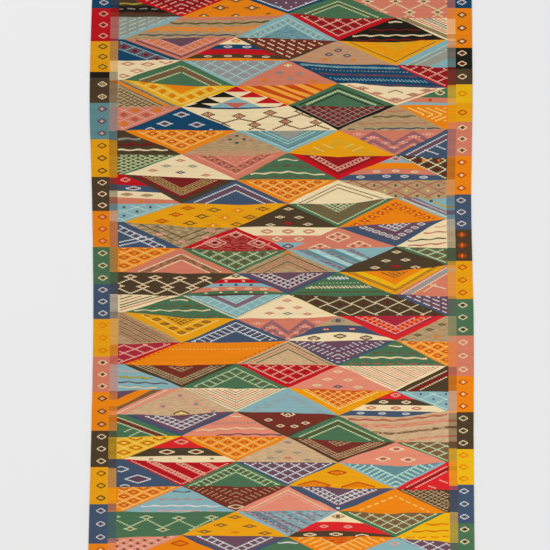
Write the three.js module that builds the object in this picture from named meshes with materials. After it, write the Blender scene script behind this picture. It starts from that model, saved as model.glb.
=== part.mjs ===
// A Moroccan kilim: one length of hand-woven wool lying flat on a floor.
// Units are millimetres. X runs across the rug, Y along the warp, and Z up.
// The underside is the plane z = 0, and the middle of the rug is the origin.

import * as THREE from "three";

// Driving dimensions
const LENGTH = 2540; // from one woven end to the other
const THICKNESS = 3; // a weft-faced flat weave of hand-spun wool
const EDGE_ROUND = THICKNESS / 2; // the weft turns round the outermost warps
const COLUMNS = 12; // faces across the cloth, apart from the edges and fold
const ROWS = 38; // faces along the cloth, apart from the ends

// The rug was kept folded in half, which left one soft ridge along the warp.
const FOLD = { across: 18, height: 0.9, halfWidth: 36 };

// How far each selvedge lies from the middle warp, in steps along the rug.
// The weaver's tension varied, so the rug narrows and widens by about 25 mm.
const SELVEDGES = [
  { along: -1270, left: 775, right: 775 },
  { along: -700, left: 760, right: 770 },
  { along: -200, left: 750, right: 770 },
  { along: 300, left: 755, right: 760 },
  { along: 700, left: 765, right: 765 },
  { along: 1270, left: 750, right: 760 },
];

// Colour and finish of the wool as a whole
const WOOL = { color: 0xa9713f, roughness: 0.95, metalness: 0 };

// A smooth curve through the rows of the table
const selvedgeCurve = new THREE.CubicInterpolant(
  SELVEDGES.map((row) => row.along),
  SELVEDGES.flatMap((row) => [row.left, row.right]),
  2,
  new Float32Array(2),
);

// The X of both selvedges at one place along the rug
function selvedgesAt(along) {
  const [left, right] = selvedgeCurve.evaluate(along);
  return { left: -left, right };
}

// Distances from an edge of the lines that round it
const ROUND_INSETS = [0, 0.2, 1].map((share) => share * EDGE_ROUND);

// The half thickness left at a distance from the edge, which is half round
function halfThickness(inset) {
  return (THICKNESS / 2) * Math.sqrt(1 - (1 - inset / EDGE_ROUND) ** 2);
}

// Each line along the cloth has its distance from the nearer selvedge, up to
// the rounding's width, and its X between the two selvedges of a row.
function linesAlong() {
  const spread = (share) => ({
    inset: EDGE_ROUND,
    at: ({ left, right }) => left + (right - left) * share,
  });
  const onFold = (step) => ({ inset: EDGE_ROUND, at: () => FOLD.across + step * FOLD.halfWidth });
  const shares = Array.from({ length: COLUMNS - 1 }, (_, i) => (i + 1) / COLUMNS);
  return [
    ...ROUND_INSETS.map((inset) => ({ inset, at: ({ left }) => left + inset })),
    ...shares.filter((share) => share < 0.5).map(spread),
    ...[-1, -0.5, 0, 0.5, 1].map(onFold),
    ...shares.filter((share) => share > 0.5).map(spread),
    ...ROUND_INSETS.toReversed().map((inset) => ({ inset, at: ({ right }) => right - inset })),
  ];
}

// Each line across the cloth has its distance from the nearer end and its Y.
function linesAcross() {
  const shares = Array.from({ length: ROWS - 1 }, (_, i) => (i + 1) / ROWS);
  return [
    ...ROUND_INSETS.map((inset) => ({ inset, y: -LENGTH / 2 + inset })),
    ...shares.map((share) => ({ inset: EDGE_ROUND, y: LENGTH * (share - 0.5) })),
    ...ROUND_INSETS.toReversed().map((inset) => ({ inset, y: LENGTH / 2 - inset })),
  ];
}

function ridgeHeight(x) {
  return FOLD.height * Math.exp(-(((x - FOLD.across) / FOLD.halfWidth) ** 2));
}

// A grid for the top of the cloth and one for the bottom. They share their
// outermost line of points, which closes the cloth all the way round.
function clothGeometry() {
  const columns = linesAlong();
  const rows = linesAcross();
  const places = [];
  const top = [];
  const bottom = [];

  function addPoint(x, y, z) {
    places.push(x, y, z);
    return places.length / 3 - 1;
  }

  for (const row of rows) {
    const selvedges = selvedgesAt(row.y);
    for (const column of columns) {
      const x = column.at(selvedges);
      const half = halfThickness(Math.min(column.inset, row.inset));
      const low = addPoint(x, row.y, THICKNESS / 2 - half);
      bottom.push(low);
      const ridge = (ridgeHeight(x) * half) / (THICKNESS / 2);
      top.push(half === 0 ? low : addPoint(x, row.y, THICKNESS / 2 + half + ridge));
    }
  }

  const faces = [];
  for (let j = 0; j < rows.length - 1; j += 1) {
    for (let i = 0; i < columns.length - 1; i += 1) {
      const a = j * columns.length + i;
      const b = a + 1;
      const c = b + columns.length;
      const d = a + columns.length;
      faces.push(top[a], top[b], top[c], top[a], top[c], top[d]);
      faces.push(bottom[a], bottom[c], bottom[b], bottom[a], bottom[d], bottom[c]);
    }
  }

  const geometry = new THREE.BufferGeometry();
  geometry.setAttribute("position", new THREE.Float32BufferAttribute(places, 3));
  geometry.setIndex(faces);
  geometry.computeVertexNormals();
  return geometry;
}

const kilim = new THREE.Mesh(clothGeometry(), new THREE.MeshStandardMaterial(WOOL));
kilim.name = "kilim";

const rug = new THREE.Group();
rug.add(kilim);

export default rug;
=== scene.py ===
# %% [markdown]
# # A Moroccan kilim, from the loom to the studio floor
#
# This lesson weaves the looks of a flat wool rug around its fixed frame. The real rug is one
# cloth. Coloured wefts cover the warps completely, each patch has its own wool, and rows of
# small extra stitches, the brocade, are laid in while the cloth grows on the loom.
# A picture could be wrapped on a slab instead, but here the patches are real faces and each
# brocade stitch is a small raised piece of yarn, so both hold up close to and from the side.

# %% The frame and the tools
import math
import random

import bmesh
import bpy
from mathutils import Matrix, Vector, geometry


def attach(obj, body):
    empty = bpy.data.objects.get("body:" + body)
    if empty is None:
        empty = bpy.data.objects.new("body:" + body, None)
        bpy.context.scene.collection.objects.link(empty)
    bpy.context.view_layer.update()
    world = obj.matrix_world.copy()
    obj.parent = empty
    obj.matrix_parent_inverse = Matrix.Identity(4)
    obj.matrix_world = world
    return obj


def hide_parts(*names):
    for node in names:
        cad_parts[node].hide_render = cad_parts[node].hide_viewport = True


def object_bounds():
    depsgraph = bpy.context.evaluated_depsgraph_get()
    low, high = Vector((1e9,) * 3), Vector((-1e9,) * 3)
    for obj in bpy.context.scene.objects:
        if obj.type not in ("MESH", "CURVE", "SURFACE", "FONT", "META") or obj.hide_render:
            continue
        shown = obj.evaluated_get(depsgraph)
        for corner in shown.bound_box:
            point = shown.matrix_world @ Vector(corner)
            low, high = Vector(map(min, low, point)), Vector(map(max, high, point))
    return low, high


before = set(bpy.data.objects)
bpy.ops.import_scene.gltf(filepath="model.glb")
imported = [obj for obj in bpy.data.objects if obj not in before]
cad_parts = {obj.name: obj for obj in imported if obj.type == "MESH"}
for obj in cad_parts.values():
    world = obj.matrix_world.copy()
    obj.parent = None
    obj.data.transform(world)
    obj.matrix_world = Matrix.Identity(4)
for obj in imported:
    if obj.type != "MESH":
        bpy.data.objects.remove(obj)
CAD_BOX = [list(corner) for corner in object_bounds()]
MM = 0.001  # the chart of the rug is in millimetres, and Blender's mesh is in metres
print("the rug's box in metres:", [[round(n, 4) for n in corner] for corner in CAD_BOX])

# %% [markdown]
# ## The wools
# Hand-dyed wool comes in a few pots of colour, and the weaver uses the same balls again and
# again. A palette of named wools keeps every patch true to those pots. The numbers are screen
# colours, which are turned into the linear values that a shader needs.

# %% The dyed wools
WOOLS = {
    "black": (34, 30, 24),
    "brown": (76, 60, 43),
    "olive": (96, 88, 52),
    "grey": (150, 148, 138),
    "plum": (106, 74, 90),
    "maroon": (120, 34, 32),
    "red": (190, 22, 32),
    "rust": (196, 74, 24),
    "salmon": (208, 122, 98),
    "pink": (236, 168, 150),
    "orange": (232, 130, 20),
    "amber": (229, 157, 20),
    "yellow": (230, 176, 22),
    "butter": (250, 206, 110),
    "cream": (236, 214, 172),
    "white": (214, 213, 212),
    "tan": (184, 154, 116),
    "mint": (178, 212, 204),
    "sage": (196, 206, 158),
    "green": (74, 110, 80),
    "teal": (96, 136, 142),
    "sky": (134, 172, 178),
    "slate": (66, 82, 106),
    "navy": (24, 68, 100),
    "sand": (208, 172, 134),
    "rose": (222, 136, 112),
    "scarlet": (214, 38, 42),
    "mustard": (186, 158, 48),
    "taupe": (120, 90, 62),
    "wine": (146, 24, 30),
    "chestnut": (116, 48, 38),
    "dove": (148, 146, 150),
    "mauve": (128, 98, 112),
    "gold": (240, 160, 60),
    "honey": (250, 186, 98),
    "brick": (192, 96, 80),
    "berry": (168, 40, 58),
    "bark": (120, 86, 60),
    "flax": (158, 130, 92),
}


def linear(colour):
    """A screen colour as the linear colour of a shader, with full alpha."""
    shares = [n / 255 for n in colour]
    return [s / 12.92 if s <= 0.04045 else ((s + 0.055) / 1.055) ** 2.4 for s in shares] + [1.0]


print(len(WOOLS), "wools")

# %% [markdown]
# ## The outline
# The selvedges wander in and out by a couple of centimetres, as they do on any hand loom. The
# frame already holds that outline, so it is read from there and not written down twice. One
# helper finds a value between the rows of a table, and all the long lines of the rug use it.

# %% Selvedges and border lines
def between(table, place, column):
    """One column's value at a place, on straight lines between the rows of a table."""
    for (start, *first), (end, *last) in zip(table, table[1:]):
        if place <= end or end == table[-1][0]:
            share = (place - start) / (end - start)
            return first[column] + (last[column] - first[column]) * share
    return table[-1][1 + column]


rows_of_points = {}
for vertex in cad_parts["kilim"].data.vertices:
    rows_of_points.setdefault(round(vertex.co.y / MM, 1), []).append(vertex.co.x / MM)
SELVEDGES = sorted((y, min(xs), max(xs)) for y, xs in rows_of_points.items())
END = SELVEDGES[-1][0]  # how far each woven end lies from the middle of the rug

# Where the plain border stops on each side: the place along the rug, then left and right
BORDER_LINES = [
    (-END, -694, 710),
    (-1000, -693, 708),
    (-700, -690, 703),
    (-300, -684, 702),
    (0, -684, 700),
    (300, -686, 694),
    (600, -688, 700),
    (900, -684, 698),
    (END, -676, 695),
]
MIXED = 33  # the width of the column in which border and field share the picks
UNDER = 10  # how far an area runs on under the one that is laid beside it later
FIELD_LINES = [(y, left + MIXED, right - MIXED) for y, left, right in BORDER_LINES]
print("selvedges at", len(SELVEDGES), "places, ends at", END, "mm")

# %% [markdown]
# ## The net of the field
# The field is a net of long flat triangles. Waist lines run across the rug about every 9 cm,
# and slanted joins zigzag between them, so each band holds seven triangles, the outer two cut
# short by the border. A weaver beats unevenly, so the lines drift. A short table of heights
# keeps that drift, and every corner of the field comes from it.

# %% Waist lines and their corners
OUTER_AXES = (-628, -180, 228, 660)  # where the odd-numbered waist lines meet the slants
INNER_AXES = (-398, 28, 458)  # the same for the even-numbered ones

# Heights from north to south. A line with five heights also says where it meets both borders.
WAIST_HEIGHTS = [
    (1212, 1212, 1212, 1212, 1212),
    (1120, 1120, 1120, 1120),
    (1032, 1032, 1044, 1028, 1028),
    (942, 950, 936, 940),
    (858, 858, 858, 838, 828),
    (780, 754, 766, 748),
    (670, 671, 678, 678, 678),
    (578, 578, 578, 582),
    (482, 482, 488, 478, 468),
    (402, 380, 380, 380),
    (284, 286, 284, 308, 308),
    (212, 190, 190, 224),
    (110, 106, 100, 114, 106),
    (12, 6, 12, 40),
    (-80, -82, -78, -78, -84),
    (-148, -176, -164, -164),
    (-274, -270, -262, -262, -268),
    (-356, -354, -362, -364),
    (-466, -450, -450, -464, -468),
    (-558, -546, -562, -544),
    (-650, -644, -648, -668, -668),
    (-736, -746, -750, -748),
    (-848, -844, -842, -854, -860),
    (-944, -944, -944, -950),
    (-1054, -1040, -1046, -1048, -1072),
    (-1140, -1140, -1140, -1140),
    (-1225, -1225, -1225, -1225, -1225),
]
SAGS = {  # where a line, counted from the north end, dips between its corners
    2: ((-180, 1032), (228, 1025)),
    3: ((458, 930),),
    4: ((228, 843),),
    5: ((-398, 757), (458, 753)),
    6: ((-185, 656), (228, 672)),
    8: ((-180, 476), (228, 471)),
    10: ((-180, 280), (228, 286)),
    11: ((-398, 192),),
    12: ((-180, 94),),
    13: ((-398, 5), (458, 14)),
    14: ((228, -88),),
    15: ((-398, -172), (28, -172)),
    16: ((-180, -270),),
    17: ((-398, -365),),
    18: ((-180, -456), (228, -461)),
    19: ((-398, -560), (28, -549), (458, -568)),
    20: ((228, -663),),
    21: ((-398, -750), (458, -765)),
    22: ((-180, -848), (228, -852)),
    23: ((-398, -950), (458, -955)),
}


def waist_line(number, heights):
    """The corners of one waist line from the left border to the right one."""
    if len(heights) == len(OUTER_AXES):
        corners = list(zip(OUTER_AXES, heights))
        heights = (heights[0], *heights, heights[-1])
    else:
        corners = list(zip(INNER_AXES, heights[1:-1]))
    left = (between(FIELD_LINES, heights[0], 0) - UNDER, heights[0])
    right = (between(FIELD_LINES, heights[-1], 1) + UNDER, heights[-1])
    return sorted([left, *corners, *SAGS.get(number, ()), right])


LINES = [waist_line(*numbered) for numbered in enumerate(WAIST_HEIGHTS)]
print(len(LINES), "waist lines,", len(LINES) - 1, "bands")

# %% [markdown]
# ## Joins with a hand-woven sway
# No join in a hand-woven cloth is quite straight. Each one gets a slight bow and sway of its
# own, of two or three millimetres. The sway is worked out from the two corners that the join
# links, so the patches on both sides of it get the very same line and leave no gap.

# %% Joins
SWAY = 2.6  # how far a join strays from straight
JOIN_STEP = 24  # the distance between the points of a join


def join(start, end):
    """The points of a hand-woven join from one corner to another, both included."""
    if end < start:
        return join(end, start)[::-1]
    hand = random.Random(f"{start} {end}")
    bow, sway, shake = (hand.uniform(-SWAY, SWAY) for _ in range(3))
    length = math.dist(start, end)
    count = max(1, round(length / JOIN_STEP))
    aside = ((start[1] - end[1]) / max(length, 1), (end[0] - start[0]) / max(length, 1))
    points = []
    for n in range(count + 1):
        turn = math.pi * n / count
        off = bow * math.sin(turn) + sway * math.sin(2 * turn) + shake / 3 * math.sin(5 * turn)
        sides = zip(start, end, aside)
        points.append(tuple(a + (b - a) * n / count + way * off for a, b, way in sides))
    return points


def ring(corners):
    """A closed outline whose sides are hand-woven joins."""
    outline = []
    for start, end in zip(corners, corners[1:] + corners[:1]):
        outline += join(start, end)[:-1]
    return outline


print("a join 450 mm long has", len(join((0, 0), (450, 0))), "points")

# %% [markdown]
# ## Laying wool on the cloth
# Every area of one wool is an outline in a list, and a later outline covers an earlier one.
# A band inside a patch names that patch, so that it shows only there. A heather is two wools
# spun or picked together: it names both, and how they share the cloth.

# %% The ground wools
LAID = []  # one row for each area: its yarn, the area it stays inside, and its outline
YARNS = []  # each yarn is two wools and a way of sharing: 0 alone, 1 pick and pick, 2 flecked


def yarn(main, second=None, way=0):
    """The number of a yarn, which is added to the list when it is new."""
    key = (main, second or main, way)
    if key not in YARNS:
        YARNS.append(key)
    return YARNS.index(key)


def spun(name):
    """The yarn that a name stands for: one wool, or two that are flecked, as in tan/pink."""
    main, _, second = name.partition("/")
    return yarn(main, second or None, 2 if second else 0)


def turns_left(outline):
    """Whether an outline runs anticlockwise."""
    pairs = zip(outline, outline[1:] + outline[:1])
    return sum(ax * by - bx * ay for (ax, ay), (bx, by) in pairs) > 0


def lay(number, outline, inside=None):
    """Adds an area of cloth, with its outline turned anticlockwise, and returns its number."""
    LAID.append((number, inside, outline if turns_left(outline) else outline[::-1]))
    return len(LAID) - 1


def edge_points(table, column, top, low):
    """Points down a long line between two heights, both included."""
    count = max(1, round((top - low) / JOIN_STEP))
    heights = [top + (low - top) * n / count for n in range(count + 1)]
    return [(between(table, y, column), y) for y in heights]


# Beyond the first and the last waist line, each end is closed by a plain strip.
for top, low, wool in (
    (END, LINES[0][0][1] - UNDER, "brown"),
    (LINES[-1][0][1] + UNDER, -END, "red"),
):
    left = [(x - UNDER, y) for x, y in edge_points(FIELD_LINES, 0, top, low)]
    right = [(x + UNDER, y) for x, y in edge_points(FIELD_LINES, 1, top, low)]
    lay(spun(wool), right + left[::-1])
print(len(LAID), "plain strips at the ends")

# %% [markdown]
# ## One patch of the field
# A patch lies between two slants, or between a slant and the border. Its figures follow the
# waist lines or the slants. A place on a slant is written as two depths: how far it lies inside
# the left slant and inside the right one, both measured upright. In those two numbers a row
# along a slant has one depth that stays the same, and a net of diamonds is plain squared paper.

# %% Patches
UPRIGHT = 60  # a side whose ends are no further apart than this runs along the border
MARGIN = 3.2  # how far a stitch keeps from the edge of its patch


class Patch:
    """The part of a band between a left and a right side, each a top and a bottom corner."""

    def __init__(self, upper, lower, left, right, ground):
        self.upper = upper
        self.lower = lower
        self.sides = (left, right)
        top = [p for p in upper if left[0][0] <= p[0] <= right[0][0]]
        low = [p for p in lower if left[1][0] <= p[0] <= right[1][0]]
        self.corners = top + low[::-1]
        points_up = right[0][0] - left[0][0] < right[1][0] - left[1][0]
        self.into = -1 if points_up else 1  # the way that leads from the tip inwards
        self.slanted = [side for side in (0, 1) if self.reach(side) > UPRIGHT]
        self.tip = self.sides[self.slanted[0]][0 if points_up else 1]
        steep = [self.climb(side) for side in (0, 1)]
        self.steep = (steep[0] or steep[1], steep[1] or steep[0])
        corners = [self.depths(x, y) for x, y in self.corners]
        self.deepest = max(max(pair) for pair in corners)
        self.shallowest = min(min(pair) for pair in corners)
        self.area = lay(spun(ground), ring(self.corners))

    def reach(self, side):
        """How far a side runs across the rug."""
        (top_x, _), (low_x, _) = self.sides[side]
        return abs(top_x - low_x)

    def climb(self, side):
        """How steeply a side climbs, or 0 for a side along the border."""
        (top_x, top_y), (low_x, low_y) = self.sides[side]
        return abs((top_y - low_y) / (top_x - low_x)) if side in self.slanted else 0

    def at(self, left_depth, right_depth):
        """The place with these depths inside the two slants through the tip."""
        over = (left_depth - right_depth) / sum(self.steep)
        return self.tip[0] + over, self.tip[1] + self.into * (left_depth - self.steep[0] * over)

    def depths(self, x, y):
        """The two depths of a place, counted from the slants through the tip."""
        over, down = x - self.tip[0], self.into * (y - self.tip[1])
        return down + self.steep[0] * over, down - self.steep[1] * over

    def depth(self, x, y):
        """How far a point is inside the nearest slant of the patch."""
        depths = [math.inf]
        for side in self.slanted:
            (top_x, top_y), (low_x, low_y) = self.sides[side]
            side_x = low_x + (top_x - low_x) * (y - low_y) / (top_y - low_y)
            depths.append((-1 if side else 1) * (x - side_x) * self.steep[side])
        return min(depths)

    def level(self, x, below):
        """The height that lies this far below the upper waist line."""
        return between(self.upper, x, 0) - below

    def place(self, over, below):
        """The place this far to the right of the tip and below the upper waist line."""
        x = self.tip[0] + over
        return x, self.level(x, below)

    def holds(self, x, y, margin=MARGIN):
        """Whether a stitch at a point stays inside the patch."""
        if self.depth(x, y) < margin * 0.8:
            return False
        if not between(self.lower, x, 0) + margin <= y <= self.level(x, margin):
            return False
        return between(FIELD_LINES, y, 0) + margin <= x <= between(FIELD_LINES, y, 1) - margin

    def ends(self):
        """How far the patch reaches to the left and to the right."""
        across = [x for x, _ in self.corners]
        return min(across), max(across)

    def cover(self, wool, outline):
        """Lays another ground inside the patch."""
        lay(spun(wool), outline, self.area)


print("stitches keep", MARGIN, "mm away from the edge of their patch")

# %% [markdown]
# ## Brocade stitches
# A stitch is only a place, a wool and a size until the very end, when yarn is set on every
# place at once. Each one overlaps the next a little, so a row of them reads as one raised rope
# with a beaded edge, which is how brocade looks on a flat-woven rug.

# %% Ropes and diamonds
STITCHES = []  # one row for each stitch: wool, x, y, length, height and lean
PITCH = 10.2  # the distance between the stitches of a rope
ROPE = 5.2  # how high a stitch is
FINE = 4.2  # how high a stitch of a small figure is
PICK = 4.2  # the distance between two rows that lie on each other
OVERLAP = 1.3  # how long a stitch is against the distance to the next one
SHORTEST = 7  # how long a stitch is at least
LONGEST = 13  # how long a stitch is at most where it fills a diamond
LEAN = 0.12  # how much of its rope's slope a stitch takes on
CORE_WITHIN = (16, 12)  # how much narrower and lower a core is than the diamond round it
RUNG_HEART = (13, 9)  # width and height of the small diamond between two rungs
FEW = 12  # more diamonds than this never fit into a row


def stitch(wool, x, y, length, height, lean=0):
    """Notes one stitch."""
    STITCHES.append((wool, x, y, length, height, lean))


def rope(patch, start, end, wool, high=ROPE, on=1, off=0, least=0, most=math.inf, skip=0, pitch=PITCH):
    """Works stitches from one place to another, inside the patch and between two depths."""
    count = max(1, round(math.dist(start, end) / pitch))
    dx, dy = (end[0] - start[0]) / count, (end[1] - start[1]) / count
    lean = math.atan2(dy, dx) if dx > 0 else math.atan2(-dy, -dx)
    for n in range(count):
        if (n + skip) % (on + off) >= on:
            continue
        x, y = start[0] + dx * (n + 0.5), start[1] + dy * (n + 0.5)
        if patch and not (patch.holds(x, y) and least <= patch.depth(x, y) <= most):
            continue
        stitch(wool, x, y, max(SHORTEST, abs(dx) * OVERLAP), high, lean * LEAN)


def solid(patch, x, y, wool, wide, high):
    """Fills a diamond with rows of stitches."""
    count = max(1, round(high / PICK))
    for n in range(count):
        off = (n + 0.5) / count - 0.5
        length = max(6, wide * (1 - 1.7 * abs(off)))
        parts = max(1, round(length / LONGEST))
        for m in range(parts):
            at_x = x + ((m + 0.5) / parts - 0.5) * length
            if patch is None or patch.holds(at_x, y + off * high):
                stitch(wool, at_x, y + off * high, length / parts * 1.12, high / count * 1.25)


def diamond(patch, x, y, wool, core=None, size=(34, 20, 12), thick=ROPE):
    """An outlined diamond with a core: its width, its height and the length of its ears."""
    wide, high, ears = size
    rise = max(high - 4, 7) / 2
    corners = [(x - wide / 2 - 2, y), (x, y + rise), (x + wide / 2 + 2, y), (x, y - rise)]
    for start, end in zip(corners, corners[1:] + corners[:1]):
        rope(patch, start, end, wool, thick, pitch=7)
    for sign in (-1, 1) if ears else ():
        rope(patch, (x + sign * wide / 2, y), (x + sign * (wide / 2 + ears), y), wool, thick * 0.8)
    if core:
        solid(patch, x, y, core, max(7, wide - CORE_WITHIN[0]), max(4, high - CORE_WITHIN[1]))


def jewel(patch, x, y, wools, wide, high):
    """A filled diamond, or a ring with a core where two wools are named, as in rust/orange."""
    outer, _, core = wools.partition("/")
    if core:
        diamond(patch, x, y, outer, core, (wide, high, 0), 3.6)
    else:
        solid(patch, x, y, outer, wide, high)


print("a rope has a stitch every", PITCH, "mm")

# %% [markdown]
# ## The weaver's figures
# A few ways of filling a patch come back all over the rug: bands and ropes that run along the
# slants, nets of diamonds, rows that wave across, stripes, and loose diamonds. Each one is a
# function of a patch and a few numbers. The word `figure` above it lets the chart give the
# numbers first and the patch later, so a patch can be written as a short list.

# %% Grounds inside a patch
FAR = 300  # a length that is longer than any patch is deep
GROWN = 14  # how far a box round a patch stands off from it
BEYOND = 10  # how far a level line runs on past the sides of a patch
LEVEL_STEP = 15  # the distance between the points of a level line
BOW_REACH = 200  # the distance from the tip at which a bowed line has dropped by its bow
RUN_ON = 30  # how far the first and the last stripe run on past the waist lines


def figure(draw):
    """Lets a drawing function take its numbers now and its patch later."""
    return lambda *numbers, **named: lambda patch: draw(patch, *numbers, **named)


def cut(corners, start, end, sign):
    """What is left of a convex outline on one side of the line from start up to end."""
    dx, dy = end[0] - start[0], end[1] - start[1]

    def side(point):
        return sign * ((point[0] - start[0]) * dy - (point[1] - start[1]) * dx)

    kept = []
    for here, there in zip(corners, corners[1:] + corners[:1]):
        a, b = side(here), side(there)
        if a >= 0:
            kept.append(here)
        if (a >= 0) != (b >= 0):
            share = a / (a - b)
            x = here[0] + (there[0] - here[0]) * share
            kept.append((round(x, 3), round(here[1] + (there[1] - here[1]) * share, 3)))
    return kept


def grown(patch):
    """A box that stands a little beyond the patch on all sides."""
    left, right = patch.ends()
    low = min(y for _, y in patch.corners) - GROWN
    high = max(y for _, y in patch.corners) + GROWN
    left, right = left - GROWN, right + GROWN
    return [(left, low), (right, low), (right, high), (left, high)]


def beyond(patch, corners, side, depth, keep=1):
    """The part of an outline that is deeper inside one slant, or shallower with keep=-1."""
    far = depth + FAR
    line = [patch.at(depth, far), patch.at(depth, -far)]
    if side == 1:
        line = [patch.at(far, depth), patch.at(-far, depth)]
    start, end = sorted(line, key=lambda point: point[1])
    return cut(corners, start, end, keep if side == 0 else -keep)


@figure
def inner(patch, depth, wool):
    """A new ground from some depth inside the slants."""
    corners = grown(patch)
    for side in patch.slanted:
        corners = beyond(patch, corners, side, depth)
    if len(corners) > 2:
        patch.cover(wool, ring(corners))


@figure
def slats(patch, side, *entries):
    """Grounds between two depths inside one slant: start, end and wool of each."""
    for start, end, wool in entries:
        corners = beyond(patch, beyond(patch, grown(patch), side, start), side, end, -1)
        if len(corners) > 2:
            patch.cover(wool, ring(corners))


def across(patch, below, bow=0, sway=0, length=60):
    """Points from left to right at one distance below the upper waist line."""
    left, right = patch.ends()
    wide = right - left + 2 * BEYOND
    count = round(wide / LEVEL_STEP)
    points = []
    for n in range(count + 1):
        x = left - BEYOND + wide * n / count
        drop = bow * ((x - patch.tip[0]) / BOW_REACH) ** 2
        wave = sway * math.sin(2 * math.pi * (x + 3 * below) / length)
        points.append((round(x, 2), round(patch.level(x, below + drop) + wave, 2)))
    return points


@figure
def band(patch, top, low, wool, sway=1.5):
    """A level band of another ground between two distances below the upper waist line."""
    upper, lower = across(patch, top, 0, sway), across(patch, low, 0, sway, 83)
    patch.cover(wool, upper + lower[::-1])


@figure
def stripes(patch, *entries, bow=0):
    """Woven stripes: wool and height, then wool, core, size and places of its diamonds."""
    done = 0
    for n, (wool, tall, *figures) in enumerate(entries):
        upper = across(patch, done - RUN_ON * (n == 0), bow)
        lower = across(patch, done + tall + RUN_ON * (n + 1 == len(entries)), bow)
        patch.cover(wool, upper + lower[::-1])
        for outline, core, size, *places in figures:
            for over in places:
                x, y = patch.place(over, done + tall / 2 + bow * (over / BOW_REACH) ** 2)
                if size[0] > 0:
                    diamond(patch, x, y, outline, core, size, min(ROPE, size[1] / 3))
                else:
                    solid(patch, x, y, outline, -size[0], size[1])
        done += tall


@figure
def wedges(patch, *entries):
    """Small triangles of ground: apex over and below, width, height and wool."""
    for over, below, wide, high, wool in entries:
        x = patch.tip[0] + over
        y = patch.tip[1] - below
        patch.cover(wool, [(x - wide / 2, y - high), (x + wide / 2, y - high), (x, y)])


@figure
def zigzags(patch, length, rise, start, wool, *entries):
    """Broad zigzag bands of ground across the patch: distance below and thickness of each."""
    left, right = patch.ends()
    for top, thick in entries:
        edge = []
        x = patch.tip[0] + start - math.ceil((patch.tip[0] - left) / length + 1) * length
        while x < right + length:
            edge.append((x, patch.level(x, top + rise * (len(edge) % 2))))
            x += length / 2
        patch.cover(wool, edge + [(x, y - thick) for x, y in edge[::-1]])


# %% Figures along the slants
@figure
def line(patch, depth, wool, high=ROPE, on=1, off=0):
    """A rope along the slants."""
    for side in patch.slanted:
        (top_x, top_y), (low_x, low_y) = patch.sides[side]
        rise = depth if (top_x > low_x) == (side == 1) else -depth
        over, up = (top_x - low_x) * 0.2, (top_y - low_y) * 0.2
        start = (top_x + over, top_y + up + rise)
        end = (low_x - over, low_y - up + rise)
        rope(patch, start, end, wool, high, on, off, depth - 1)


@figure
def dashed(patch, *entries):
    """Fine ropes along the slants: the depth and the wool of each."""
    for depth, wool in entries:
        line(depth, wool, 4.0)(patch)


@figure
def edged(patch, wool, depth, middle, wide, back):
    """Two ropes along the slants with a band of another ground between them."""
    line(depth, wool)(patch)
    inner(depth + 4, middle)(patch)
    inner(depth + 4 + wide, back)(patch)
    line(depth + 8 + wide, wool)(patch)


@figure
def net(patch, wool, tall=28, depth=0, rows=None, hearts="", share=0.5, high=ROPE):
    """A net of diamonds from some depth, for a number of rows or to the far side.

    The wools of the hearts are named one after the other, and the diamonds take them in turn.
    """
    end = math.inf if rows is None else depth + rows * tall + 1
    first = math.floor((patch.shallowest - depth) / tall)
    last = math.ceil((patch.deepest - depth) / tall)
    near, far = depth + first * tall, depth + last * tall
    for n in range(first, last + 1):
        level = depth + n * tall
        for ends in (((level, near), (level, far)), ((near, level), (far, level))):
            start, stop = (patch.at(*pair) for pair in ends)
            rope(patch, start, stop, wool, high, least=depth - 1, most=end)
    wide = 2 * tall / sum(patch.steep)
    hearts = hearts.split()
    for n in range(first, last + 1) if hearts else ():
        for m in range(first, last + 1):
            x, y = patch.at(depth + (n + 0.5) * tall, depth + (m + 0.5) * tall)
            if patch.holds(x, y, 1) and depth < patch.depth(x, y) < end:
                heart = hearts[(n + m) % len(hearts)]
                jewel(patch, x, y, heart, wide * share, tall * share)


@figure
def ladder(patch, depth, tall, apart, wool, heart=None, high=4.4):
    """Two ropes along the slants, with rungs between them and a small diamond in each gap."""
    line(depth, wool, high)(patch)
    line(depth + tall, wool, high)(patch)
    for n in range(math.ceil((patch.deepest - depth) / apart)):
        place = depth + tall / 2 + n * apart
        rung = place + apart / 2
        for way in (1, -1):
            start = patch.at(*(depth, rung)[::way])
            end = patch.at(*(depth + tall, rung)[::way])
            rope(patch, start, end, wool, high, least=depth, most=depth + tall)
            x, y = patch.at(*(depth + tall / 2, place)[::way])
            if heart and (n or way == 1) and patch.holds(x, y, 1) and patch.depth(x, y) > depth:
                solid(patch, x, y, heart, *RUNG_HEART)


@figure
def chain(patch, depth, wools, apart, wide, high):
    """Diamonds in a row along the slants, the first one under the tip."""
    for n in range(FEW):
        down = depth + n * apart * patch.steep[0]
        for x, y in {patch.at(depth, down), patch.at(down, depth)}:
            if patch.holds(x, y, 1) and patch.depth(x, y) > depth - 4:
                jewel(patch, x, y, wools, wide, high)


@figure
def strokes(patch, wool, first, apart, high=ROPE, on=1, off=0):
    """Ropes parallel to the left slant, each row's gaps set off from the last."""
    near, far = patch.shallowest, patch.deepest
    for n in range(math.ceil((far - first) / apart)):
        ends = (patch.at(first + n * apart, end) for end in (near, far))
        rope(patch, *ends, wool, high, on, off, 6, skip=n * 2)


@figure
def peaks(patch, wool, first, apart, high=ROPE, on=1, off=0, most=math.inf):
    """Ropes that meet on the axis of the patch and run towards the slants on both sides."""
    for n in range(math.ceil((patch.deepest - first) / apart)):
        level = first + n * apart
        for end in ((-level, level), (level, -level)):
            rope(patch, patch.at(level, level), patch.at(*end), wool, high, on, off, 6, most, n * 2)


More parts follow.
